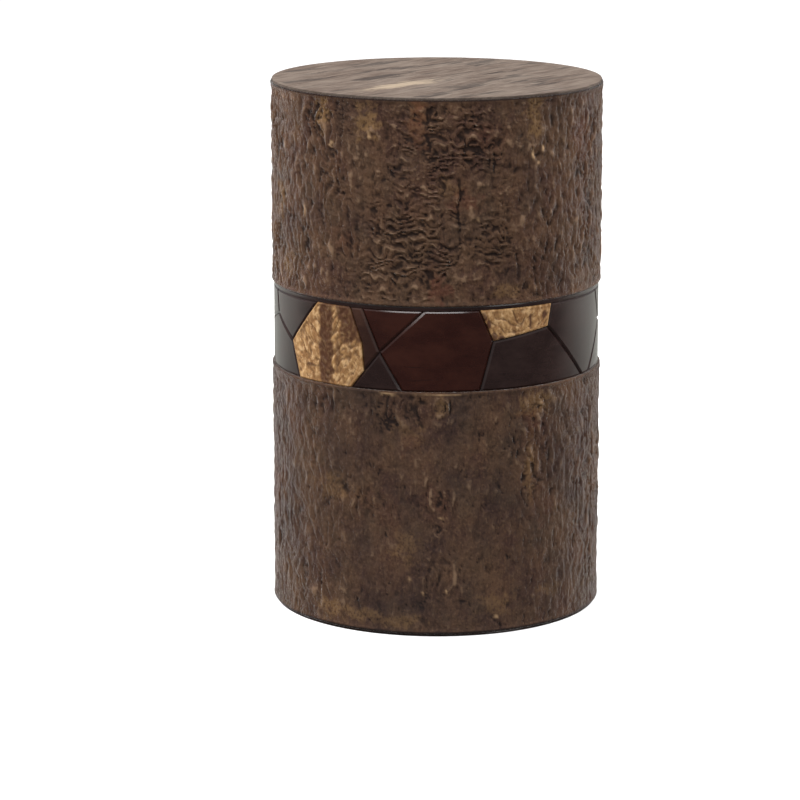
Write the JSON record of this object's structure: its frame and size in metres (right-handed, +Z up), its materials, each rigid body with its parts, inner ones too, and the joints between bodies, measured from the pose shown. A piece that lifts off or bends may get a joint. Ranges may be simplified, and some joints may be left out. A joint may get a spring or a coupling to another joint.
{
  "type": "tea caddy",
  "caption": "Cylindrical tea caddy with a rough cherry-bark body and lid, an inlaid band of polished bark tiles, an inner tube as neck, and a knobbed inner lid.",
  "frame": {"origin": "middle of the base's flat resting face", "axes": "+Z up along the caddy's axis; -Y is the front, the side of the band with the large burgundy tile; +X is to the right seen from the front"},
  "size_m": [0.075, 0.075, 0.12],
  "materials": {
    "rough_bark": "rough frosted cherry bark, ridged and cracked, dull",
    "top_bark": "lightly scraped cherry bark, grey-brown, satin",
    "polished_bark": "shaved and polished cherry bark, deep burgundy, glossy",
    "golden_bark": "unshaved golden cherry bark, crinkled, satin",
    "russet_bark": "shaved cherry bark, reddish brown, glossy",
    "lining_bark": "shaved cherry bark lining, red-brown, semi-gloss",
    "core_wood": "wound veneer and board, pale, smooth",
    "knob_wood": "turned and polished dark wood"
  },
  "bodies": {
    "caddy": {"base_bark": "rough_bark", "body_bark": "rough_bark", "base_board": "core_wood", "body_core": "core_wood", "inner_tube_core": "core_wood", "body_lining": "lining_bark", "floor_bark": "lining_bark", "inner_tube_bark": "lining_bark", "inner_tube_lining": "lining_bark", "body_rim_bark": "polished_bark", "neck_rim_bark": "polished_bark", "tile_gold_front_left": "golden_bark", "tile_gold_front_right": "golden_bark", "tile_gold_back_right": "golden_bark", "tile_gold_back_left": "golden_bark", "tile_front_sliver": "russet_bark", "tile_front_upper_wedge": "polished_bark", "tile_front_lower_wedge": "polished_bark", "tile_front_centre": "polished_bark", "tile_front_lower_right": "polished_bark", "tile_front_right": "polished_bark", "tile_front_upper_left": "polished_bark", "tile_front_lower_left": "polished_bark", "tile_right_upper": "polished_bark", "tile_right_lower": "polished_bark", "tile_back_right_wedge": "polished_bark", "tile_back_right": "polished_bark", "tile_back_upper": "polished_bark", "tile_back_lower": "polished_bark", "tile_back_left_lower": "polished_bark", "tile_back_left_upper": "polished_bark", "tile_left_lower": "polished_bark", "tile_left": "polished_bark", "tile_left_upper": "polished_bark"},
    "inner_lid": {"inner_lid_flange": "core_wood", "inner_lid_plug": "core_wood", "inner_lid_plug_bark": "lining_bark", "inner_lid_edge_bark": "polished_bark", "inner_lid_top_bark": "polished_bark", "inner_lid_under_bark": "lining_bark", "inner_lid_knob": "knob_wood"},
    "lid": {"lid_core": "core_wood", "lid_lining": "lining_bark", "lid_bark": "rough_bark", "lid_rim_bark": "polished_bark", "lid_board": "core_wood", "lid_ceiling_bark": "lining_bark", "lid_top_bark": "top_bark"}
  },
  "joints": [
    {"name": "inner_lid_lift", "type": "slide", "parent": "caddy", "child": "inner_lid", "axis": [0, 0, 1], "range_m": [0, 0.06]},
    {"name": "lid_lift", "type": "slide", "parent": "inner_lid", "child": "lid", "axis": [0, 0, 1], "range_m": [0, 0.06]}
  ]
}
